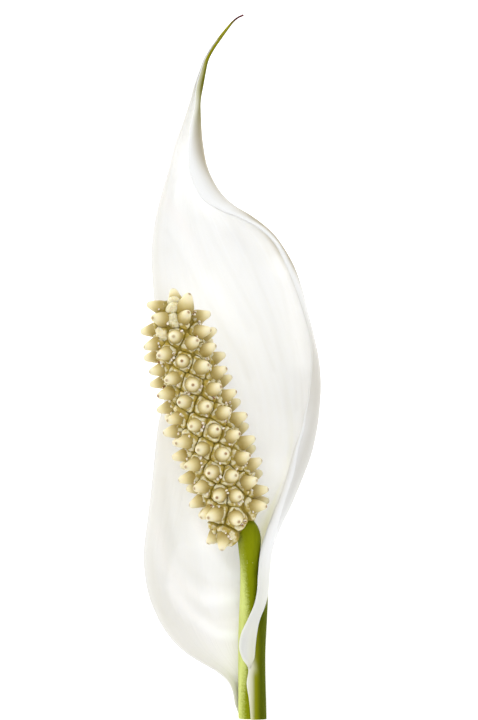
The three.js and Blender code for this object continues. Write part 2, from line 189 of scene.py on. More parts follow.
# A material's nodes; its methods add one and give back the socket of its result
class Graph:
    def __init__(self, name, roughness, extras):
        self.material = bpy.data.materials.new(name)
        self.material.use_nodes = True
        self.nodes = self.material.node_tree.nodes
        self.links = self.material.node_tree.links
        self.shader = self.nodes["Principled BSDF"]
        self.shader.inputs["Roughness"].default_value = roughness
        for socket, value in extras.items():
            self.shader.inputs[socket].default_value = value

    def add(self, kind, settings=None, inputs=None, output=0):
        node = self.nodes.new(kind)
        for key, value in (settings or {}).items():
            setattr(node, key, value)
        for socket, value in (inputs or {}).items():
            if isinstance(value, Signal):
                self.links.new(value.socket, node.inputs[socket])
            else:
                node.inputs[socket].default_value = value
        return Signal(self, node.outputs[output])

    def maths(self, operation, first, second=None):
        inputs = {0: first} if second is None else {0: first, 1: second}
        return self.add("ShaderNodeMath", {"operation": operation}, inputs)

    def ramp(self, signal, low, high):
        return self.add("ShaderNodeMapRange", {"interpolation_type": "SMOOTHSTEP"},
                        {"Value": signal, "From Min": low, "From Max": high})

    def mix(self, share, first, second):
        return self.add("ShaderNodeMix", {"data_type": "RGBA"}, {0: share, 6: first, 7: second}, 2)

    def noise(self, vector, scale, detail=2.0, distortion=0.0):
        return self.add("ShaderNodeTexNoise", None,
                        {"Vector": vector, "Scale": scale, "Detail": detail, "Distortion": distortion})

    def dots(self, vector, scale):
        return self.add("ShaderNodeTexVoronoi", {"feature": "F1"}, {"Vector": vector, "Scale": scale})

    def stretched(self, vector, scale):
        return self.add("ShaderNodeMapping", None, {"Vector": vector, "Scale": scale})

    def here(self):
        return self.add("ShaderNodeTexCoord", None, None, "Object")

    def uv(self, name="lay"):
        flat = self.add("ShaderNodeUVMap", {"uv_map": name})
        split = self.nodes.new("ShaderNodeSeparateXYZ")
        self.links.new(flat.socket, split.inputs[0])
        return Signal(self, split.outputs[0]), Signal(self, split.outputs[1]), flat

    def tint(self, name):
        read = self.add("ShaderNodeAttribute", {"attribute_name": name})
        split = self.nodes.new("ShaderNodeSeparateColor")
        self.links.new(read.socket, split.inputs[0])
        return [Signal(self, split.outputs[i]) for i in range(3)]

    def finish(self, colour, roughness, bump, bumpDepth, bumpStrength):
        raised = {"Height": bump, "Strength": bumpStrength, "Distance": bumpDepth}
        self.links.new(colour.socket, self.shader.inputs["Base Color"])
        self.links.new(roughness.socket, self.shader.inputs["Roughness"])
        self.links.new(self.add("ShaderNodeBump", None, raised).socket, self.shader.inputs["Normal"])
        return self.material


# Sockets of a skin that lets light in; reach is how far, in m, for red, green and blue
def flesh(weight, reach, shine, scale=1.0):
    return {"Subsurface Weight": weight, "Subsurface Radius": reach, "Subsurface Scale": scale,
            "Specular IOR Level": shine}


# Colours are given as the eye sees them, 0 to 255
def shade(r, g, b):
    def straight(value):
        value /= 255
        return value / 12.92 if value <= 0.04045 else ((value + 0.055) / 1.055) ** 2.4
    return (straight(r), straight(g), straight(b), 1.0)


# Lengths in mm and angles in degrees; the tip takes over from the blade between topRow and tipRow
spathe = {
    "rows": 384, "columns": 124, "topRow": 50.0, "tipRow": 57.4, "tipEnd": 69.2, "lowest": 0.33,
    # The glow is the strength of the painted light that the blade gives off
    "thickness": 0.62, "marginThickness": 0.2, "marginColumns": 0.5, "tipThickness": 0.2, "glow": 0.22,
    "tipStart": 150, "tipTurn": 330, "tipWall": (0.2, 0.16), "tipSteps": 400,
    "white": shade(240, 241, 241), "creamWhite": shade(235, 235, 231), "coolWhite": shade(240, 241, 242),
    # The tip's dark olive is painted shade on its roll
    "tipGreen": shade(142, 139, 2), "tipShade": shade(58, 62, 0), "thread": shade(70, 32, 36),
    # The base green and the rim's olive deepen the wing down the stalk towards its right: its own green, and
    # painted shade on its side away from the light
    "baseGreenInShade": shade(82, 92, 0), "rimGreen": shade(140, 143, 0), "ribGreen": shade(205, 202, 130),
    # The fold's warm grey is painted shade on the rolled margin, the edge's grey painted shade along the
    # margins, hollows and creases
    "foldShade": shade(162, 152, 126), "edgeShade": shade(206, 204, 196),
    # The crests' white is painted highlight, the lobe's grey painted shade on the lower lobe
    "lobeShade": shade(228, 226, 225), "crestHighlightWhite": shade(243, 241, 240),
}
# Where the section's points lie between left edge, midrib, fold and flap's edge
shares = {"outer": 0.33, "inner": 0.67, "side": 0.7, "sideRise": 0.28, "roll": 0.2, "rollRise": 0.62}
# The section's last point, and the points between which the soft folds rise and die out
lastPoint = 8
foldsFrom = (0, 0.6)
foldsTo = (3, 4.2)

# Guide lines of the spathe, each key y, x, z on the middle of the blade, from the tip down
leftEdge = [
    (57.6, -8.2, 5.9), (52.8, -9.7, 4.6), (48, -11.2, 3.7), (43.2, -13.0, 2.9), (38.4, -14.2, 2.3),
    (33.6, -15.6, 1.9), (28.8, -16.8, 1.8), (24, -17.5, 1.9), (19.2, -17.6, 2.1), (12, -17.1, 2.6),
    (8.4, -16.8, 2.8), (4, -16.0, 3.0), (-1, -15.2, 3.1), (-5, -14.8, 3.1), (-9, -15.3, 3.1),
    (-12.4, -16.2, 3.1), (-17, -16.8, 3.1), (-24, -17.5, 2.9), (-31, -18.3, 2.6),
    (-38.4, -19.2, 2.3), (-43.2, -19.0, 2.2), (-48, -18.0, 2.4), (-52.8, -15.9, 2.8), (-56.4, -13.4, 3.2),
    (-59, -10.6, 3.6), (-61, -7.4, 3.8), (-62.6, -4.6, 3.8), (-64.6, -2.3, 3.7), (-66.6, -1.3, 3.4),
    (-69.4, -0.75, 2.5), (-72.3, 0.3, 1.0),
]
midrib = [
    (57.6, -7.2, 5.0), (52.8, -8.1, 3.8), (46, -8.4, 2.2), (39, -8.2, 1.1), (32, -6.6, 0.6),
    (25.6, -4.0, 0.5), (19.6, -1.2, 0.5), (14, 1.6, 0.5), (8, 4.4, 0.5), (2.6, 6.4, 0.35), (-4.4, 9.0, 0.1),
    (-10.4, 10.4, 0.15), (-16.4, 10.6, 0.4), (-22, 9.6, 0.6), (-28.4, 7.2, 0.9), (-35, 5.0, 1.3),
    (-42, 3.8, 1.3), (-50, 3.0, 1.0), (-58, 2.4, 0.5), (-63, 2.2, 0.3), (-68, 2.2, 0.2), (-72.3, 2.2, 0.25),
]
rightFold = [
    (57.6, -6.8, 5.6), (52.8, -7.9, 4.9), (48, -7.9, 4.2), (43.2, -7.5, 3.8), (38.4, -6.5, 3.6),
    (34, -4.2, 3.7), (31.2, -1.5, 3.9), (28.8, 2.3, 4.2), (26.4, 5.4, 4.5), (24, 7.6, 4.8),
    (19.2, 10.5, 5.2), (14.4, 12.3, 5.6), (9.6, 13.5, 5.9), (4.8, 14.7, 6.1), (0, 15.7, 6.2),
    (-4.8, 16.1, 6.2), (-9.6, 15.9, 6.1), (-14.4, 15.3, 6.0), (-19.2, 14.2, 5.8), (-24, 12.4, 5.5),
    (-28.8, 10.4, 5.3), (-33.6, 8.1, 5.3), (-38.4, 6.4, 5.4), (-45.6, 5.7, 5.2), (-52.8, 5.3, 4.4),
    (-60, 5.0, 3.6), (-72.3, 5.25, 3.45),
]
flapEdge = [
    (57.4, -7.8, 7.0), (52.4, -8.3, 6.7), (46.6, -9.5, 6.7), (41.4, -10.0, 6.7), (36.8, -9.4, 6.7),
    (32.2, -6.9, 6.8), (30, -3.4, 6.9), (28.6, 0.2, 7.0), (26.4, 4.3, 7.2), (23.4, 7.4, 7.5),
    (19.4, 9.5, 8.0), (14.4, 11.5, 8.7), (8.6, 13.4, 9.5), (4, 14.5, 10.0), (0.8, 14.7, 10.2),
    (-2.4, 14.6, 10.4), (-7.6, 14.0, 10.5), (-10.6, 13.4, 10.5), (-14.4, 12.6, 10.4), (-18.2, 11.2, 10.3),
    (-23.6, 9.7, 10.2), (-27.8, 8.3, 10.1), (-31, 7.0, 10.5), (-34.2, 5.8, 10.9), (-38.2, 4.6, 11.0),
    (-43.2, 4.1, 10.3), (-46.4, 3.9, 9.4), (-49.2, 3.3, 8.7), (-52.2, 2.0, 8.0), (-55, 0.7, 7.7),
    (-57.6, 0.3, 7.4), (-59.8, 0.9, 7.1), (-61.8, 2.1, 6.8), (-65, 1.9, 6.65), (-68, 2.3, 6.55),
    (-72.3, 2.6, 6.45),
]
# How far the free margin stands out beyond the flap's edge: y, across, up
flapReach = [
    (57.4, -0.3, 0.05), (8, -0.3, 0.1), (-10, -0.25, 0.2), (-14.4, 0.0, 0.4), (-18.2, 0.55, 0.45),
    (-22, 0.95, 0.4), (-27.8, 1.0, 0.35), (-33.6, 1.7, 0.3), (-38.6, 2.1, 0.1), (-44.4, 2.0, 0.0),
    (-49.8, 2.0, 0.1), (-52.4, 2.2, 0.3), (-55, 2.9, 0.3), (-57.6, 3.0, 0.25), (-59.8, 2.2, 0.3),
    (-61, 0.9, 0.3), (-62.2, -0.2, 0.1), (-72.3, -0.25, 0.0),
]
# Heights of the blade at the outer and the inner point between the left edge and the midrib
belly = [
    (57.6, 5.6, 5.2), (48, 2.7, 2.1), (40, 1.1, 0.75), (33, 0.15, 0.2), (26, 0.55, 0.45), (15, 1.3, 0.9),
    (4, 1.6, 0.7), (-4, 1.6, 0.45), (-12, 1.6, 0.6), (-20, 1.6, 1.0), (-28, 1.4, 1.2), (-36, 0.5, 1.4),
    (-42, -0.5, 1.3), (-47, -0.9, 1.1), (-51, -0.4, 0.9),
    (-57, 1.1, 0.9), (-62, 1.8, 0.8), (-66, 1.25, 0.45), (-69.4, 0.92, 0.35), (-72.3, 0.5, 0.3),
]
# Soft folds on the inner face: path, height and half width
flutes = [
    ([(-11.2, 36), (-8.8, 25.4), (-5.8, 18.6), (-1.8, 13.4), (2.2, 6.6)], -0.28, 1.8),
    ([(-14, 22), (-8.4, 13.6), (-1.8, 3.6), (2.2, -3)], -0.22, 1.8),
    ([(-15.6, 33), (-11, 27), (-7.2, 20.4)], 0.3, 2.2),
    ([(-3.8, 26), (-0.2, 19.4)], 0.22, 1.4),
    ([(-16.6, -34), (-14.8, -41.6), (-11.4, -45.4), (-6.8, -48.6), (-1, -48)], 0.42, 1.9),
    ([(-13.8, -45.8), (-9.6, -51.4), (-4.4, -55.2), (-1, -55.6)], 0.3, 1.5),
    ([(-8, -33.4), (-5.2, -38.2), (-2.4, -42.4), (0, -43.4)], 0.3, 1.5),
    ([(-15, -24), (-13.8, -34.6), (-12.4, -40), (-9.4, -43.2), (-5.4, -45.4), (-1.4, -45.4)], -0.16, 1.1),
    ([(-12.8, -43.2), (-9.6, -48), (-4.8, -52), (-1.4, -52.2)], -0.2, 1.1),
]
# Painted light that lifts the shade where the spadix, the stem and the rolled margin keep light off the
# blade: path, half width and strength
shadeLiftPaths = [
    ([(-7, 12), (1, -12), (7, -30)], 6.5, 0.6),
    ([(1, -34), (-2, -46), (-1, -62)], 4, 0.5),
    ([(-13, 0), (-12, -20), (-6, -36)], 4, 0.5),
    ([(8.2, -22), (6.6, -28), (5.2, -34)], 2.2, 0.7),
    ([(9.8, -14), (8.6, -21), (6.6, -28), (5.2, -34)], 3.6, 0.3),
    ([(-10, 41), (-9.4, 36.8), (-6.9, 32), (-3.4, 29.4), (0.2, 28), (4, 25.6), (7, 22.6), (9, 19)],
     2.2, 0.8),
    ([(9, 19), (11.6, 10), (13, 0)], 2.2, 0.5),
]
# Thin veins and the crease along the left margin, drawn as darker lines: the veins' own tone, and painted
# shade in the crease: path and half width
creases = [
    ([(11.6, 4), (12.7, -4), (13, -12), (12, -20)], 0.25),
    ([(-18, -32.6), (-17.4, -48.6), (-13.4, -53.4)], 0.35),
    ([(-9, 33), (-5, 24), (-0.6, 16), (4, 8), (7, -2)], 0.6),
    ([(-14.6, 26), (-6.4, 12), (0.6, 0), (4, -10)], 0.6),
    ([(-2, 29), (2.6, 20), (7, 8), (9.4, -4), (9.8, -14)], 0.6),
    ([(5, 24.6), (9, 14), (11.2, 2), (11.6, -10)], 0.5),
]
# The tip's middle line with its radius: y, x, z, radius
tipKeys = [
    (49, -9.2, 4.6, 0.75), (53, -8.7, 4.9, 1.05), (57.6, -7.5, 5.8, 0.8), (60.4, -6.6, 6.5, 0.62),
    (62.8, -5.2, 7.1, 0.52), (64.8, -3.7, 7.6, 0.44), (66.6, -2.3, 8.0, 0.36), (67.9, -1.2, 8.3, 0.32),
    (68.7, -0.2, 8.5, 0.3), (69.2, 0.9, 8.6, 0.3),
]


def distanceToPath(x, y, path):
    nearest = math.inf
    for (ax, ay), (bx, by) in zip(path, path[1:]):
        t = ((x - ax) * (bx - ax) + (y - ay) * (by - ay)) / ((bx - ax) ** 2 + (by - ay) ** 2)
        t = min(max(t, 0.0), 1.0)
        nearest = min(nearest, math.hypot(x - ax - t * (bx - ax), y - ay - t * (by - ay)))
    return nearest


def fluteLift(x, y):
    return sum(height * bell(distanceToPath(x, y, path), width) for path, height, width in flutes)


# The blade's section at one height: nine points x, z from the left edge round to the free margin
def bladeSection(y):
    leftX, leftZ = along(leftEdge, y)
    ribX, ribZ = along(midrib, y)
    foldX, foldZ = along(rightFold, y)
    flapX, flapZ = along(flapEdge, y)
    reachX, reachZ = along(flapReach, y)
    outerZ, innerZ = along(belly, y)
    return [
        (leftX, leftZ),
        (lerp(leftX, ribX, shares["outer"]), outerZ),
        (lerp(leftX, ribX, shares["inner"]), innerZ),
        (ribX, ribZ),
        (lerp(ribX, foldX, shares["side"]), lerp(ribZ, foldZ, shares["sideRise"])),
        (foldX, foldZ),
        (lerp(foldX, flapX, shares["roll"]), lerp(foldZ, flapZ, shares["rollRise"])),
        (flapX, flapZ),
        (flapX + reachX, flapZ + reachZ),
    ]


# Place across the section for a share of the columns, which are closer together at the folds
columnStops = [(0.0, 0.0), (0.33, 3.0), (0.5, 4.4), (0.66, 5.3), (0.78, 6.3), (0.9, 7.2), (1.0, 8.0)]


def columnAt(u):
    for (u0, c0), (u1, c1) in zip(columnStops, columnStops[1:]):
        if u <= u1:
            return lerp(c0, c1, (u - u0) / (u1 - u0))
    return float(lastPoint)


def bladePoint(section, c, y):
    x, z = curvePoint(section, c / lastPoint)
    z += fluteLift(x, y) * (1 - smoothstep(*foldsTo, c)) * smoothstep(*foldsFrom, c)
    return x, y, max(z, spathe["lowest"])


# The tip rolls the blade into a nearly closed tube that bends over to the right
def tipPoint(t, c):
    middle = curvePoint(tipKeys, t)
    ahead = curvePoint(tipKeys, min(t + 0.01, 1.0))
    behind = curvePoint(tipKeys, max(t - 0.01, 0.0))
    aim = Vector((ahead[1] - behind[1], ahead[0] - behind[0], ahead[2] - behind[2])).normalized()
    side = (Vector((1, 0, 0)) - aim * aim.x).normalized()
    up = side.cross(aim).normalized()
    up = up if up.z > 0 else -up
    angle = math.radians(spathe["tipStart"] + spathe["tipTurn"] * c / lastPoint)
    radius = middle[3] - lerp(*spathe["tipWall"], t)
    outward = side * math.cos(angle) + up * math.sin(angle)
    return Vector((middle[1], middle[0], middle[2])) + outward * radius


tipSteps = spathe["tipSteps"]
tipHeights = [curvePoint(tipKeys, i / tipSteps)[0] for i in range(tipSteps + 1)]


# Share of the way along the tip's middle line at which it reaches a height
def tipShareAt(y):
    i = 0
    while i < tipSteps - 1 and tipHeights[i + 1] < y:
        i += 1
    span = tipHeights[i + 1] - tipHeights[i]
    return (i + (y - tipHeights[i]) / span) / tipSteps


sections = {}                          # by height, because every column of a row asks for the same one


def spathePoint(u, v):
    c = columnAt(u)
    y = lerp(cutEnd, spathe["tipEnd"], v)
    if y not in sections:
        sections[y] = bladeSection(y)
    share = smoothstep(spathe["topRow"], spathe["tipRow"], y)
    point = Vector(bladePoint(sections[y], c, y))
    if share > 0:
        point = point.lerp(tipPoint(tipShareAt(y), c), share)
    return point


# How green the blade is, how pale green along its rib, how brown in the tip's thread, and how olive on the
# wing that runs down the stalk, greening towards its right with its own green and painted shade on its side
# away from the light
def spatheTints(point, c):
    x, y = point.x, point.y
    reach = lerp(4.4, -1.5, smoothstep(60, 66, y))
    tip = smoothstep(43, 58, y) * smoothstep(reach, reach + 0.9, c)
    tip *= 1 - 0.35 * smoothstep(6.0, 7.6, c) * (1 - smoothstep(57, 61, y))
    tip *= 1 - 0.8 * smoothstep(7.6, 7.9, c) * (1 - smoothstep(60, 65, y))
    foot = (1 - smoothstep(-50, -46, y)) * smoothstep(3.2, 4.2, c)
    foot *= 1 - smoothstep(6.2, 6.9, c) * smoothstep(-64, -60, y)
    # The wing greens towards its right: its own green, deepened by painted shade on that side
    olive = foot * smoothstep(1.9, 3.2, x)
    wing = foot * smoothstep(3.1, 4.3, x)
    under = (1 - smoothstep(-54, -34, y)) * smoothstep(2.6, 4.4, c) * (1 - smoothstep(4.9, 5.2, c))
    ribX = along(midrib, y)[0]
    green = min(1.0, tip + max(wing, under))
    rib = 0.45 * bell(x - ribX - 0.4, 2.2) * (1 - smoothstep(-36, -24, y)) * (1 - smoothstep(4.2, 5.0, c))
    rib += 0.16 * bell(x - ribX, 0.5) * (1 - smoothstep(-20, 0, y)) * (1 - smoothstep(3.6, 4.2, c))
    rib += (1 - smoothstep(-73, -50, y)) * smoothstep(4.6, 5.4, c) * (1 - olive) * smoothstep(1.0, 3.0, x)
    rib += 0.25 * (1 - smoothstep(-46, -36, y)) * smoothstep(5.4, 6.2, c) * (1 - olive)
    thread = smoothstep(66.8, 68.4, y)
    return green, min(1.0, rib), thread, olive


# Painted shade where the rolled margin turns away from the light, painted shade along the margins, in the
# soft folds' hollows and in the creases, darker lines along the thin veins, and painted highlight on the
# crests
def spathePaintedShading(point, c):
    x, y = point.x, point.y
    soft = 5.5 + 0.5 * smoothstep(36, 46, y)
    # Painted shade on the rolled margin's outer side, darkest where it turns away from the light
    fold = smoothstep(8, 24, y) * smoothstep(4.3, 5.0, c) * (1 - smoothstep(soft, soft + 1.25, c))
    fold *= lerp(0.55, 1.0, smoothstep(30, 42, y))
    fold += 0.5 * bell(y + 3, 14) * smoothstep(5.0, 5.6, c) * (1 - smoothstep(7.2, 7.9, c))
    fold += 0.3 * bell(y + 22, 11) * smoothstep(5.0, 5.6, c) * (1 - smoothstep(6.3, 6.8, c))
    fold += bell(c - 5.6, 0.9) * smoothstep(14, 22, y) * (1 - smoothstep(27, 31, y))
    fold = min(fold, 1.0)
    # Painted shade along the margins, where the blade turns away from the light
    edge = bell(c - 7.75, 0.2) * smoothstep(-16, 4, y) * (1 - smoothstep(12, 22, y)) + bell(c, 0.3)
    edge += 0.26 * bell(c, 1.1) * (1 - smoothstep(34, 44, y))
    # Painted highlight on the soft folds' crests, painted shade in their hollows
    paintedCrestLight, low = 0.0, 0.0
    for path, height, width in flutes:
        if height > 0:
            paintedCrestLight += bell(distanceToPath(x, y, path), width * 0.6)
        else:
            low += bell(distanceToPath(x, y, path), width * 0.7)
    paintedCrestLight *= 1 - smoothstep(3, 4, c)
    low += sum(bell(distanceToPath(x, y, path), width) for path, width in creases)
    edge += low * 0.17 * (1 - smoothstep(4.2, 4.8, c))
    return fold, min(1.0, edge), min(1.0, paintedCrestLight)


# How much painted light the blade gives off to lift its shade, most in the narrow trough under the rolled
# margin and where the spadix, stem and margin shade it
def spathePaintedLight(point, c, green):
    x, y = point.x, point.y
    shadeLift = smoothstep(28, 44, y) * (1 - smoothstep(60, 66, y)) * (1 - smoothstep(4.0, 4.8, c))
    shadeLift += sum(bell(distanceToPath(x, y, path), width) * strength for path, width, strength in shadeLiftPaths)
    thin = (1 - smoothstep(0.25, 0.8, green)) * (1 - smoothstep(4.6, 5.2, c))
    return thin * lerp(0.08, 1.0, min(shadeLift, 1.0))


def spatheMaterial():
    g = Graph("spathe_skin", 0.5, flesh(0.5, (0.002, 0.00195, 0.0018), 0.08, 0.8))
    # Painted light: the blade gives off light in its own colour where its shade is lifted
    g.shader.inputs["Emission Strength"].default_value = spathe["glow"]
    spot = g.here()
    u, v, flat = g.uv()
    green, rib, thread = g.tint("tint")
    fold, edge, paintedCrestLight = g.tint("paintedShading")
    paintedLift, olive, _ = g.tint("glow")
    cloud = g.noise(spot, 60.0, 3.0)
    drift = g.noise(spot, 220.0, 2.0)
    streaks = g.noise(g.stretched(flat, (70.0, 5.0, 1.0)), 1.0, 3.0, 0.4)
    veins = g.ramp(streaks, 0.42, 0.6)
    grain = g.noise(spot, 5200.0, 2.0)
    colour = g.mix(g.ramp(cloud, 0.35, 0.65), spathe["white"], spathe["coolWhite"])
    colour = g.mix(veins * 0.14, colour, spathe["creamWhite"])
    # Painted shade: the lower lobe greyer, less on the crests
    lobe = (1 - g.ramp(v, 0.1, 0.3)) * (1 - g.ramp(u, 0.56, 0.64))
    colour = g.mix(lobe * (1 - paintedCrestLight) * 0.8, colour, spathe["lobeShade"])
    # Painted highlight on the crests of the soft folds
    colour = g.mix(paintedCrestLight * (0.12 + 0.7 * g.ramp(u, 0.26, 0.12)), colour, spathe["crestHighlightWhite"])
    # Painted shade on the rolled margin, where it turns away from the light
    colour = g.mix(fold * 0.9, colour, spathe["foldShade"])
    # Painted shade along the margins, in the soft folds' hollows and in the creases, with the veins' darker
    # lines
    colour = g.mix(edge * 0.55, colour, spathe["edgeShade"])
    greenTone = g.mix(g.ramp(v, 0.4, 0.6), spathe["baseGreenInShade"], spathe["tipGreen"])
    colour = g.mix(olive, colour, spathe["rimGreen"])
    colour = g.mix(green * (0.97 + 0.06 * drift), colour, greenTone)
    # Painted shade on the tip's roll, on its side away from the light
    colour = g.mix(green * fold * g.ramp(v, 0.7, 0.9) * 0.7, colour, spathe["tipShade"])
    colour = g.mix(rib * 0.72, colour, spathe["ribGreen"])
    colour = g.mix(thread, colour, spathe["thread"])
    # Painted light given off in the blade's colour, most where the blade lies in shade
    glow = g.mix(paintedLift, (0, 0, 0, 1), colour)
    g.links.new(glow.socket, g.shader.inputs["Emission Color"])
    roughness = 0.46 + 0.16 * cloud + 0.3 * green
    return g.finish(colour, roughness, veins * 0.5 + grain * 0.12, 0.00008, 0.4)


def makeSpathe():
    bm = bmesh.new()
    tint = bm.verts.layers.float_color.new("tint")
    paintedShading = bm.verts.layers.float_color.new("paintedShading")
    glow = bm.verts.layers.float_color.new("glow")
    group = bm.verts.layers.deform.verify()
    _, spots = shapedGrid(bm, spathe["columns"], spathe["rows"], spathePoint)
    for vert, (u, v) in spots.items():
        c = columnAt(u)
        point = vert.co.copy()
        green, rib, thread, olive = spatheTints(point, c)
        vert[tint] = (green, rib, thread, 1.0)
        vert[paintedShading] = (*spathePaintedShading(point, c), 1.0)
        vert[glow] = (spathePaintedLight(point, c, max(green, olive)), olive, 0.0, 1.0)
        edge = min(c / spathe["marginColumns"], (lastPoint - c) / spathe["marginColumns"], 1.0)
        full = lerp(spathe["marginThickness"], spathe["thickness"], smoothstep(0, 1, edge))
        full = lerp(full, spathe["tipThickness"], smoothstep(52, 62, point.y))
        vert[group][0] = full * lerp(1, 0.5, smoothstep(66, 69, point.y)) / spathe["thickness"]
        vert.co = place(*point)
    piece = makePiece("spathe_blade", bm, spatheMaterial(), "spathe")
    piece.vertex_groups.new(name="fleshiness")
    wall = piece.modifiers.new("wall", "SOLIDIFY")
    wall.thickness = spathe["thickness"] * mm
    wall.offset = 0.0
    wall.vertex_group = "fleshiness"
    wall.use_quality_normals = True


# Of the stem's rows, cutShare lay its cut face and rootShare its root; bend is where its keys end and the
# turn into the spadix begins
stem = {
    "sides": 72, "rows": 240, "cutShare": 0.04, "rootShare": 0.04, "rootDepth": 1.6, "bend": 0.9,
    "ribs": 15, "ribHeight": 0.02, "ribTwist": 0.15, "rim": 0.94, "rimHeight": 0.35, "dish": 0.22,
    # The lime is painted light for the stem's lit side, the deep green painted shade for its other side
    "green": shade(134, 143, 0), "paintedLitLime": shade(220, 229, 138), "paintedShadeGreen": shade(74, 84, 0),
    "oliveGreen": shade(150, 158, 20), "speck": shade(214, 222, 150), "cutFace": shade(196, 204, 128),
    "pith": shade(226, 228, 176),
}
# The stem's middle line with its radius: y, x, z, radius
stemKeys = [
    (-36, 2.05, 10.1, 2.35), (-38, 2.1, 9.55, 2.2), (-40.5, 2.25, 8.5, 2.08), (-44, 2.3, 7.0, 2.06),
    (-48, 2.25, 5.55, 2.1), (-52, 2.16, 4.5, 2.18), (-56, 2.1, 3.8, 2.24), (-60, 2.1, 3.45, 2.26),
    (-66, 2.1, 3.4, 2.26), (-72.3, 2.12, 3.4, 2.24),
]
# The spadix's own axis runs from the one to the other
spadixBase = Vector((0.7, -35.2, 10.2))
spadixTop = Vector((-14.6, 11.2, 13.8))
axis = (spadixTop - spadixBase).normalized()
# The slanting joint of stem and spadix, in the spadix's own frame
joint = {"up": 1.3, "aside": 0.8, "tilt": 0.7, "radius": 2.45}


# From the spadix's own frame, Z along its axis and -Y to the camera, to the bloom's
def spadixMatrix():
    back = (Vector((0, 0, -1)) + axis * axis.z).normalized()
    across = back.cross(axis)
    turn = Matrix((across, back, axis)).transposed().to_4x4()
    return Matrix.Translation(spadixBase) @ turn


# Middle, aim and radius of the stem; share runs from the foot to the slanting top on the spadix
def stemCentre(share):
    bend = stem["bend"]
    if share <= bend:
        y = lerp(cutEnd, stemKeys[0][0], share / bend)
        x, z, radius = along(stemKeys, y)
        ahead, behind = along(stemKeys, y + 0.4), along(stemKeys, y - 0.4)
        aim = Vector((ahead[0] - behind[0], 0.8, ahead[1] - behind[1])).normalized()
        return Vector((x, y, z)), aim, radius
    t = (share - bend) / (1 - bend)
    turned = spadixMatrix()
    first, firstAim, firstRadius = stemCentre(bend)
    last = turned @ Vector((joint["aside"], 0, joint["up"]))
    lastAim = turned.to_3x3() @ Vector((-math.sin(joint["tilt"]), 0, math.cos(joint["tilt"])))
    reach = (last - first).length
    t2, t3 = t * t, t * t * t
    middle = (first * (2 * t3 - 3 * t2 + 1) + firstAim * reach * (t3 - 2 * t2 + t)
              + last * (3 * t2 - 2 * t3) + lastAim * reach * 0.6 * (t3 - t2))
    aim = firstAim.lerp(lastAim, smoothstep(0, 1, t)).normalized()
    return middle, aim, lerp(firstRadius, joint["radius"], smoothstep(0, 1, t))


def stemPoint(u, v):
    angle = 2 * math.pi * u
    cut = stem["cutShare"]
    root = 1 - stem["rootShare"]
    if v < cut:                        # the cut face, from its middle out to the rim
        share = v / cut
        centre, aim, radius = stemCentre(0.0)
        radius *= stem["rim"] * share
        aim = Vector((0, 1, 0))
        centre.y = cutEnd + stem["dish"] * (1 - share * share)
    elif v <= root:
        share = (v - cut) / (root - cut)
        centre, aim, radius = stemCentre(share)
        rim = smoothstep(cutEnd, cutEnd + stem["rimHeight"], centre.y)
        radius *= lerp(stem["rim"], 1.0, rim)
        radius += stem["ribHeight"] * math.cos(angle * stem["ribs"] + stem["ribTwist"] * centre.y)
        aim = aim.lerp(Vector((0, 1, 0)), 1 - rim).normalized()
    else:                              # the rounded root inside the spadix
        share = (v - root) / (1 - root)
        centre, aim, radius = stemCentre(1.0)
        centre += aim * stem["rootDepth"] * math.sin(share * math.pi / 2)
        radius *= math.cos(share * math.pi / 2) if v < 1 else 0.0
    side = (Vector((1, 0, 0)) - aim * aim.x).normalized()
    up = side.cross(aim)
    point = centre + (side * math.cos(angle) + up * math.sin(angle)) * radius
    if v <= cut:
        point.y = centre.y
    return point


# Painted light and shade: lime on the camera's left, where the light falls, deep green on its right, away
# from the light, both weaker towards the top
def stemMaterial():
    g = Graph("stem_skin", 0.5, flesh(0.2, (0.0015, 0.0018, 0.0006), 0.05))
    spot = g.here()
    u, v, _ = g.uv()
    streaks = g.noise(g.stretched(spot, (1.0, 0.06, 1.0)), 1500.0, 3.0)
    cloud = g.noise(spot, 180.0, 2.0)
    specks = g.ramp(g.dots(spot, 1500.0), 0.2, 0.1) * g.ramp(g.noise(spot, 420.0, 1.0), 0.58, 0.66)
    turned = g.maths("COSINE", u * (2 * math.pi) - 2.9)
    high = g.ramp(v, 0.7, 0.84)
    wide = (1 - g.ramp(v, 0.48, 0.78)) * g.ramp(v, 0.12, 0.35)
    grain = g.noise(spot, 2600.0, 2.0)
    # Painted light on the side towards the key lamp, painted shade on the side away from it
    paintedLitSide = g.ramp(turned + 0.4 * wide + 0.5 * (grain - 0.5), 0.45, 1.1) * (1 - 0.8 * high)
    paintedShadeSide = (1 - g.ramp(turned + 0.25 * wide, -0.75, 0.35)) * (1 - 0.6 * high)
    colour = g.mix(paintedLitSide, stem["green"], stem["paintedLitLime"])
    colour = g.mix(paintedShadeSide, colour, stem["paintedShadeGreen"])
    colour = g.mix(g.ramp(streaks, 0.3, 0.7) * 0.25, colour, stem["oliveGreen"])
    colour = g.mix(specks * 0.6, colour, stem["speck"])
    cut = 1 - g.ramp(v, 0.9 * stem["cutShare"], 1.025 * stem["cutShare"])
    face = g.mix(g.ramp(g.dots(spot, 2200.0), 0.1, 0.3), stem["cutFace"], stem["pith"])
    colour = g.mix(cut, colour, face)
    roughness = 0.42 + 0.16 * cloud
    return g.finish(colour, roughness, streaks * 0.4 + specks * 0.3, 0.00005, 0.5)


def makeStem():
    bm = bmesh.new()
    faces, _ = shapedGrid(bm, stem["sides"], stem["rows"], stemPoint, wrap=True)
    setDown(faces, Matrix.Identity(4))
    makeSolid("stem_rod", bm, stemMaterial(), "stem")


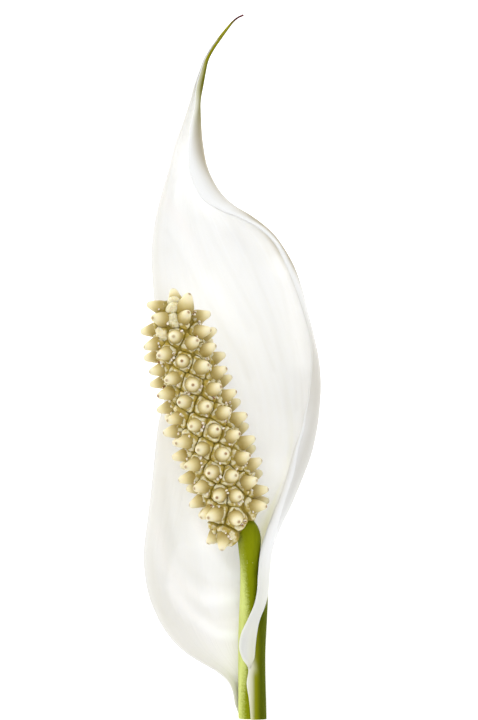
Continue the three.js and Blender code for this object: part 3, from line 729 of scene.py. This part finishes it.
# Heights run up the spadix from its base, angles round it from the front, in radians. No flower sits lower
# than bareHeight, give or take bareSlope on the side of bareAngle.
spadix = {
    "length": 49.2, "flowers": 106, "missing": (0, 3), "filesAcross": 11, "spread": 47.71,
    "crowding": 0.048, "firstAngle": -2.856, "bareHeight": 2.6, "bareSlope": 1.4, "bareAngle": 1.6,
    "rootDepth": 0.1, "bowTop": 1.6, "bowTopFrom": 38, "bowBase": 1.5, "bowBaseTo": 12,
    "coreShare": 0.94, "coreSides": 48, "coreRows": 90, "jointShare": 0.08, "firstRing": 3.3,
    # The pale cream is painted highlight on the pistils' tops; the khaki at their bases is partly painted
    # shade
    "cream": shade(243, 230, 176), "khaki": shade(152, 126, 22), "paintedTipHighlight": shade(249, 242, 216),
    "tipBrown": shade(140, 86, 22), "tepal": shade(186, 163, 70), "tepalPale": shade(241, 231, 192),
    "seam": shade(128, 112, 22), "anther": shade(251, 242, 226), "antherBrown": shade(140, 92, 44),
}
# Pistils stand out nearly square, tilt up within reach of the crown, and droop and shrink near the base
restLean = 0.1
crown = {"reach": 6.5, "lean": 1.25, "shrink": 0.08}
base = {"reach": 12, "droop": 0.75, "shrink": 0.08}
chances = {"height": 0.15, "angle": 0.05, "lean": 0.05, "size": 0.06}
# The core's outline, height and radius; the heights are negative because keys run downwards
coreProfile = [
    (0, 2.6), (-0.7, 3.3), (-2, 3.9), (-4.5, 4.6), (-12, 5.2), (-26, 5.2), (-37, 4.8), (-43.5, 4.2),
    (-46.5, 3.5), (-48.5, 2.3), (-49.2, 0.8),
]
# How the files of flowers wander round the spadix: height, angle
fileDrift = [(48.6, -0.08), (39.2, -0.08), (29.7, 0.1), (20.3, 0.24), (10.8, 0.26), (1.4, 0.08)]
# Pistils of the crown and the base that stand apart from the rule, by number: height, angle, lean and size
apart = {
    1: (47.8, 2.9, 1.2, 1.08), 2: (46.9, 0.75, 0.8, 1.15), 4: (48.4, -1.6, 0.6, 0.95),
    5: (46, -2.5, 0.2, 0.95), 7: (44.6, 1.6, -0.1, 1), 9: (46.3, -0.7, 0.35, 1),
    13: (41.8, 1.05, -0.1, 1.02), 91: (8.6, 0.25, -0.05, 1),
    96: (5.3, 1.1, -0.25, 0.95), 97: (6.2, -0.65, 0, 1.05), 98: (2.4, -1.3, -0.6, 0.85),
    100: (4.4, 2.75, -0.3, 0.9), 102: (4.4, 0.1, -0.2, 1.05), 103: (1.4, -0.7, -0.85, 0.95),
}
# Flowers without a pistil, where only the tepals show: height, angle, lean
buds = [
    (48.0, -0.1, 0.9), (45.7, -0.1, 0.3), (43.6, -0.85, 0.1), (49.1, 0.0, 1.5), (47.6, 2.2, 0.8),
    (47.4, -2.2, 0.7),
]
tepals = {
    "steps": 36, "rows": 10, "around": 6, "inner": 1.42, "lip": (0.96, 1.04), "groove": 0.16,
    "lifts": (-0.06, 0.0, 0.08, 0.2, 0.34), "lump": 0.16, "cushion": 0.5, "sway": 0.4,
    "neighbours": 8, "sharpness": 22, "budSize": 0.7, "budReach": (1.5, 1.75), "budRise": 0.5,
    "seed": 1795621622,
}
# Across a tepal from its outer foot to the pistil: share of the way out, height over the core
tepalProfile = [
    (1.0, -0.8), (1.0, -0.06), (0.96, 0.0), (0.88, 0.06), (0.78, 0.14), (0.64, 0.22), (0.48, 0.3),
    (0.3, 0.36), (0.12, 0.4), (0.0, 0.25),
]
pistils = {
    "sides": 14, "rows": 12, "bend": 0.12, "bowSpan": 12, "twist": 6.28, "wide": (0.95, 1.03),
    "lobes": 0.025, "halfWidth": 1.6,
}
# A pistil's outline, height and radius in mm
pistilProfile = [
    (-0.9, 1.45), (-0.3, 1.53), (0.3, 1.54), (0.9, 1.46), (1.5, 1.28), (2.1, 1.06), (2.6, 0.88),
    (3.0, 0.71), (3.25, 0.54), (3.4, 0.33), (3.46, 0.0),
]
# Spent anthers between pistil and tepals; toward is the side of a flower where most of them lie
anthers = {
    "sides": 8, "rows": 6, "toward": (0.8, 0, -0.6), "spread": 1.6, "counts": (1, 1, 2, 2, 3),
    "step": (0.3, 0.5), "long": (0.32, 0.44), "slim": (0.62, 0.8), "away": (1.62, 1.82),
    "height": (0.55, 0.8), "tilt": 1.1, "pinch": 0.25,
}


def coreRadiusAt(height):
    return along(coreProfile, -height)[0]


def bowAt(height):
    above = max(0.0, (height - spadix["bowTopFrom"]) / (spadix["length"] - spadix["bowTopFrom"]))
    below = max(0.0, (spadix["bowBaseTo"] - height) / spadix["bowBaseTo"])
    return spadix["bowTop"] * above * above - spadix["bowBase"] * below * below


# Seeded draws between -1 and 1, the same ones as in the part's source
def scatter(seed):
    state = seed
    while True:
        state = (state * 1664525 + 1013904223) % 4294967296
        yield state / 2147483648 - 1


# A flower's seat, its pistil's aim, its size and the way its tepals face
def flowerSpot(height, angle, lean, size):
    outward = Vector((math.sin(angle), -math.cos(angle), 0))
    seat = outward * (coreRadiusAt(height) - spadix["rootDepth"]) + Vector((bowAt(height), 0, height))
    aim = outward * math.cos(lean) + Vector((0, 0, math.sin(lean)))
    facing = outward * math.cos(lean / 2) + Vector((0, 0, math.sin(lean / 2)))
    return seat, aim, size, facing


def flowerSpots():
    rand = scatter(5)
    turn = 2 * (2 * math.pi) / spadix["filesAcross"]
    crowding = spadix["crowding"]
    spots = []
    for n in range(spadix["flowers"]):
        luck = [next(rand) for _ in range(4)]
        share = n / (spadix["flowers"] - 1)
        fromTop = spadix["spread"] * (share * (1 + crowding) - crowding * share * share)
        height = spadix["length"] - fromTop + luck[0] * chances["height"]
        drift = along(fileDrift, height)[0]
        angle = spadix["firstAngle"] + drift - n * turn + luck[1] * chances["angle"]
        nearTop = max(0.0, 1 - fromTop / crown["reach"])
        nearBase = max(0.0, 1 - height / base["reach"])
        lean = restLean + crown["lean"] * nearTop * nearTop - base["droop"] * nearBase
        lean += luck[2] * chances["lean"]
        size = (1 + luck[3] * chances["size"]) * (1 - base["shrink"] * nearBase - crown["shrink"] * nearTop)
        lowest = spadix["bareHeight"] + spadix["bareSlope"] * math.cos(angle - spadix["bareAngle"])
        if n in apart:
            spots.append(flowerSpot(*apart[n]))
        elif n not in spadix["missing"] and height >= lowest:
            spots.append(flowerSpot(height, angle, lean, size))
    return spots


# From a flower's own frame, Z along its aim, to the spadix's
def flowerFrame(seat, aim):
    turn = Vector((0, 0, 1)).rotation_difference(aim).to_matrix().to_4x4()
    return Matrix.Translation(seat) @ turn


# Half way to the neighbours all round a flower, with rounded corners, and no further than widest, which is
# narrower at the crown and the base
def cellReach(seat, aim, others, steps):
    widest = 1.5 + 1.5 * smoothstep(0.5, 4, spadix["length"] - seat.z)
    widest -= 0.25 * (1 - smoothstep(2, 8, seat.z))
    sharpness = tepals["sharpness"]
    inverse = flowerFrame(seat, aim).inverted()
    near = []
    for other in others:
        if 0.01 < (other - seat).length < tepals["neighbours"]:
            flat = inverse @ other
            near.append((flat.x, flat.y))
    reach = []
    for i in range(steps):
        angle = 2 * math.pi * i / steps
        ux, uy = math.cos(angle), math.sin(angle)
        sharp = 0.0
        for x, y in near:
            facing = x * ux + y * uy
            if facing > 0.3:
                sharp += (facing / ((x * x + y * y) / 2)) ** sharpness
        reach.append(min(sharp ** (-1 / sharpness) if sharp > 0 else widest, widest))
    return reach


def pistilMaterial():
    g = Graph("pistil_skin", 0.4, flesh(0.15, (0.0012, 0.0009, 0.0004), 0.25))
    spot = g.here()
    height, luck, _ = g.uv()
    x, y, _ = g.uv("across")
    cloud = g.noise(spot, 700.0, 2.0)
    fine = g.noise(spot, 3800.0, 2.0)
    # Khaki towards the pistil's base: partly its own colour, partly painted shade
    low = 1 - g.ramp(height, 0.15, 0.85)
    colour = g.mix(low * (0.58 + 0.4 * cloud), spadix["cream"], spadix["khaki"])
    away = g.maths("SQRT", (x - 0.05) ** 2.0 + (y + 0.03) ** 2.0)
    dot = (1 - g.ramp(away, 0.09, 0.26)) * g.ramp(height, 0.88, 0.94)
    halo = (1 - g.ramp(away, 0.15, 0.42)) * g.ramp(height, 0.8, 0.92)
    # Painted highlight: paler towards the tip
    colour = g.mix(g.ramp(height, 0.5, 0.92) * (0.35 + 0.5 * cloud), colour, spadix["paintedTipHighlight"])
    colour = g.mix(halo * 0.2, colour, spadix["khaki"])
    colour = g.mix(dot * (0.45 + 0.45 * luck), colour, spadix["tipBrown"])
    roughness = 0.26 + 0.18 * cloud
    return g.finish(colour, roughness, cloud * 0.5 + fine * 0.2 - dot * 0.5, 0.00008, 0.5)


def tepalMaterial():
    g = Graph("tepal_skin", 0.3, flesh(0.5, (0.0012, 0.001, 0.0006), 0.4))
    spot = g.here()
    cloud = g.noise(spot, 900.0, 3.0)
    fine = g.noise(spot, 3000.0, 2.0)
    _, outward, _ = g.uv()
    swollen, _, _ = g.uv("pale")
    light = g.ramp(cloud + 0.2 * outward + 0.3 * swollen, 0.56, 0.8)
    colour = g.mix(light, spadix["tepal"], spadix["tepalPale"])
    foot = g.ramp(outward, 0.42, 0.12) * (0.4 + 0.5 * g.ramp(cloud, 0.35, 0.6))
    colour = g.mix(foot, colour, spadix["seam"])
    roughness = 0.2 + 0.25 * cloud
    return g.finish(colour, roughness, cloud * 0.7 + fine * 0.4, 0.0002, 0.8)


def antherMaterial():
    g = Graph("anther_skin", 0.2, flesh(0.2, (0.0006, 0.0004, 0.0002), 0.6))
    spot = g.here()
    luck, _, _ = g.uv()
    cloud = g.noise(spot, 2500.0, 2.0)
    colour = g.mix(g.ramp(0.25 * luck + cloud, 0.72, 0.78), spadix["anther"], spadix["antherBrown"])
    return g.finish(colour, 0.15 + 0.2 * cloud, cloud, 0.00006, 0.6)


def coreMaterial():
    g = Graph("core_skin", 0.5, {"Specular IOR Level": 0.4})
    spot = g.here()
    cloud = g.noise(spot, 1500.0, 3.0)
    colour = g.mix(cloud, spadix["seam"], spadix["khaki"])
    return g.finish(colour, 0.4 + 0.2 * cloud, cloud, 0.0001, 0.6)


# The core's middle, aim and radius; it starts on the slanting joint and is upright from its first ring on
def coreRing(v):
    upright = Vector((0, 0, 1))
    low, firstRing = spadix["jointShare"], spadix["firstRing"]
    if v >= low:
        height = lerp(firstRing, spadix["length"], (v - low) / (1 - low))
        return Vector((bowAt(height), 0, height)), upright, coreRadiusAt(height)
    share = v / low
    joined = Vector((joint["aside"], 0, joint["up"]))
    slanted = Vector((-math.sin(joint["tilt"]), 0, math.cos(joint["tilt"])))
    centre = joined.lerp(Vector((bowAt(firstRing), 0, firstRing)), share)
    radius = lerp(coreRadiusAt(0), coreRadiusAt(firstRing), math.sin(share * math.pi / 2))
    return centre, slanted.lerp(upright, share).normalized(), radius if v > 0 else 0.0


def makeCore(toWorld):
    bm = bmesh.new()

    def corePoint(u, v):
        centre, aim, radius = coreRing(v)
        radius *= spadix["coreShare"] if v < 1 else 0.0
        back = Vector((0, 1, 0))
        across = back.cross(aim)
        turn = 2 * math.pi * u
        return centre + (across * math.sin(turn) - back * math.cos(turn)) * radius

    faces, _ = shapedGrid(bm, spadix["coreSides"], spadix["coreRows"], corePoint, wrap=True)
    setDown(faces, toWorld)
    makeSolid("spadix_core", bm, coreMaterial(), "spadix")


def makePistils(toWorld, spots, chance):
    bm = bmesh.new()
    main = bm.loops.layers.uv.new("lay")
    across = bm.loops.layers.uv.new("across")
    bend, halfWidth = pistils["bend"], pistils["halfWidth"]
    tall = pistilProfile[-1][0]
    for seat, aim, size, _ in spots:
        luck = chance.random()
        bendX, bendY = chance.uniform(-bend, bend), chance.uniform(-bend, bend)
        twist = chance.uniform(0, pistils["twist"])
        wide = chance.uniform(*pistils["wide"])

        def pistilPoint(u, v):
            height, radius = curvePoint(pistilProfile, v)
            radius = max(radius, 0.0) if v < 1 else 0.0
            angle = 2 * math.pi * u + twist
            radius *= (1 + pistils["lobes"] * math.cos(3 * angle) * (1 - v)) * wide
            bow = max(height, 0.0) ** 2 / pistils["bowSpan"]
            return Vector((math.cos(angle) * radius + bendX * bow,
                           math.sin(angle) * radius + bendY * bow, height)) * size

        faces, _ = shapedGrid(bm, pistils["sides"], pistils["rows"], pistilPoint, wrap=True)
        for face in faces:
            for loop in face.loops:
                local = loop.vert.co
                loop[main].uv = (local.z / (tall * size), luck)
                loop[across].uv = (local.x / halfWidth, local.y / halfWidth)
        setDown(faces, toWorld @ flowerFrame(seat, aim))
    makeSolid("spadix_pistils", bm, pistilMaterial(), "spadix")


# The collar of six tepals round each pistil, out to the neighbours' collars. Unseeded, the sway would differ
# from run to run.
def makeTepals(toWorld, spots, chance):
    noise.seed_set(tepals["seed"])
    bm = bmesh.new()
    main = bm.loops.layers.uv.new("lay")
    pale = bm.loops.layers.uv.new("pale")
    steps, around = tepals["steps"], tepals["around"]
    narrow, broad = tepals["budReach"]
    shut = [flowerSpot(height, angle, lean, tepals["budSize"]) for height, angle, lean in buds]
    seats = [spot[0] for spot in spots + shut]
    for number, (seat, _, size, facing) in enumerate(spots + shut):
        matrix = toWorld @ flowerFrame(seat, facing)
        closed = number >= len(spots)
        reach = cellReach(seat, facing, seats, steps)
        reach = [min(max(away, narrow), broad) for away in reach] if closed else reach
        phase = chance.random()
        lifts = [chance.choice(tepals["lifts"]) for _ in range(around)]
        lips = [chance.uniform(*tepals["lip"]) for _ in range(around)]
        backTurn = matrix.to_3x3().inverted()
        upward = backTurn @ toWorld.to_3x3() @ Vector((0, 0, 1))
        sideways = Vector((-upward.y, upward.x, 0)).normalized()
        curve = 1 / (2 * max(coreRadiusAt(seat.z), 3))
        swollen = {}                   # how far each point is swollen, for its colour

        def tepalPoint(u, v):
            share, height = curvePoint(tepalProfile, v)
            angle = 2 * math.pi * u
            turnOn = (u + phase) * around
            lobe = int(turnOn) % around
            bulge = abs(math.sin(math.pi * (turnOn % 1))) ** 0.5
            inner = 0.01 if closed else tepals["inner"] * size * lerp(0.97, lips[lobe], bulge)
            outer = max(reach[int(round(u * steps)) % steps], inner + 0.1)
            radius = lerp(inner, outer, share)
            raised = smoothstep(-0.4, 0.2, height)
            flap = lifts[lobe] * bulge * bell(share - 0.3, 0.4)
            z = height + (flap - tepals["groove"] * (1 - bulge)) * raised
            z += tepals["budRise"] * (1 - share) * raised if closed else 0.0
            spot = Vector((math.cos(angle) * radius, math.sin(angle) * radius, z))
            spot.z -= spot.dot(sideways) ** 2 * curve
            spot += backTurn @ noise.noise_vector(matrix @ spot * 0.45) * tepals["sway"] * share
            here = matrix @ spot
            cushion = smoothstep(0.0, 0.4, noise.noise(here * 1.15)) * bell(share - 0.5, 0.5)
            swollen[(round(u, 4), round(v, 4))] = max(cushion, 0.8 if closed else 0.0) * raised
            spot.z += (tepals["lump"] * noise.noise(here * 2.6) + tepals["cushion"] * cushion) * raised
            return spot

        faces, _ = shapedGrid(bm, steps, tepals["rows"], tepalPoint, wrap=True)
        for face in faces:
            for loop in face.loops:
                u, v = loop[main].uv
                loop[pale].uv = (swollen[(round(u, 4), round(v, 4))], 0.0)
        setDown(faces, matrix)
    makeSolid("spadix_tepals", bm, tepalMaterial(), "spadix")


def makeStamens(toWorld, spots, chance):
    bm = bmesh.new()
    uv = bm.loops.layers.uv.new("lay")
    spread, tilt = anthers["spread"], anthers["tilt"]
    for seat, _, size, facing in spots:
        frameHere = flowerFrame(seat, facing)
        toward = frameHere.to_3x3().inverted() @ Vector(anthers["toward"])
        side = math.atan2(toward.y, toward.x) + chance.uniform(-spread, spread)
        for k in range(chance.choice(anthers["counts"])):
            angle = side + k * chance.uniform(*anthers["step"])
            luck = chance.random()
            long = chance.uniform(*anthers["long"])
            wide = long * chance.uniform(*anthers["slim"])
            away = chance.uniform(*anthers["away"]) * size
            centre = Vector((math.cos(angle) * away, math.sin(angle) * away,
                             chance.uniform(*anthers["height"])))

            def beadPoint(u, v):
                turnBy = 2 * math.pi * u
                lift = math.pi * (v - 0.5)
                ring = math.cos(lift) if 0 < v < 1 else 0.0
                radius = ring * wide * (1 - anthers["pinch"] * bell(math.cos(turnBy), 0.3))
                spot = Vector((math.cos(turnBy) * radius, math.sin(turnBy) * radius, math.sin(lift) * long))
                spot.rotate(Matrix.Rotation(tilt, 3, (-math.sin(angle), math.cos(angle), 0)))
                return centre + spot

            faces, _ = shapedGrid(bm, anthers["sides"], anthers["rows"], beadPoint, wrap=True)
            for face in faces:
                for loop in face.loops:
                    loop[uv].uv = (luck, 0.5)
            setDown(faces, toWorld @ frameHere)
    makeSolid("spadix_stamens", bm, antherMaterial(), "spadix")


def makeSpadix():
    toWorld = spadixMatrix()
    spots = flowerSpots()
    chance = random.Random(11)
    makeCore(toWorld)
    makePistils(toWorld, spots, chance)
    makeTepals(toWorld, spots, chance)
    makeStamens(toWorld, spots, chance)


# The lights stand round the bloom's middle: name, place, power and size
setting = {
    "floor": shade(250, 250, 250), "floorGlow": 0.5, "floorSize": 3.0, "floorDrop": 0.0002, "world": 0.8,
    "lamps": [
        ("key", (-0.5, 0.7, 0.9), 4.0, 0.8),
        ("fill", (0.7, -0.2, 0.9), 0.5, 0.9),
        ("top", (0.1, 0.0, 1.5), 1.2, 1.0),
    ],
    "cameraHeight": 1.212, "lens": 300, "sensor": 36,
}


def makeFloor():
    bm = bmesh.new()
    bmesh.ops.create_grid(bm, x_segments=8, y_segments=8, size=setting["floorSize"])
    mesh = bpy.data.meshes.new("floor")
    bm.to_mesh(mesh)
    bm.free()
    floor = bpy.data.objects.new("floor", mesh)
    floor.location.z = -setting["floorDrop"]
    bpy.context.scene.collection.objects.link(floor)
    g = Graph("pale_floor", 0.9, {
        "Base Color": setting["floor"], "Specular IOR Level": 0.0,
        "Emission Color": (1, 1, 1, 1), "Emission Strength": setting["floorGlow"],
    })
    mesh.materials.append(g.material)


def makeLights():
    world = bpy.data.worlds.new("studio")
    world.use_nodes = True
    backdrop = world.node_tree.nodes["Background"]
    backdrop.inputs["Color"].default_value = (1, 1, 1, 1)
    backdrop.inputs["Strength"].default_value = setting["world"]
    bpy.context.scene.world = world
    for name, origin, power, size in setting["lamps"]:
        data = bpy.data.lights.new(name, "AREA")
        data.energy = power
        data.size = size
        lamp = bpy.data.objects.new(name, data)
        lamp.location = origin
        lamp.rotation_euler = (Vector((0, 0, 0)) - Vector(origin)).to_track_quat("-Z", "Y").to_euler()
        bpy.context.scene.collection.objects.link(lamp)


def makeCamera():
    data = bpy.data.cameras.new("camera")
    data.lens = setting["lens"]
    data.sensor_width = setting["sensor"]
    camera = bpy.data.objects.new("camera", data)
    camera.location = (shiftX * mm, shiftY * mm, setting["cameraHeight"])
    bpy.context.scene.collection.objects.link(camera)
    bpy.context.scene.camera = camera
    bpy.context.scene.view_settings.view_transform = "Standard"


makeFloor()
makeLights()
makeCamera()
print("Camera, floor and light set")
makeSpathe()
print("Spathe shaped")
makeStem()
print("Stem shaped")
makeSpadix()
print("Spadix shaped")

bpy.context.view_layer.update()
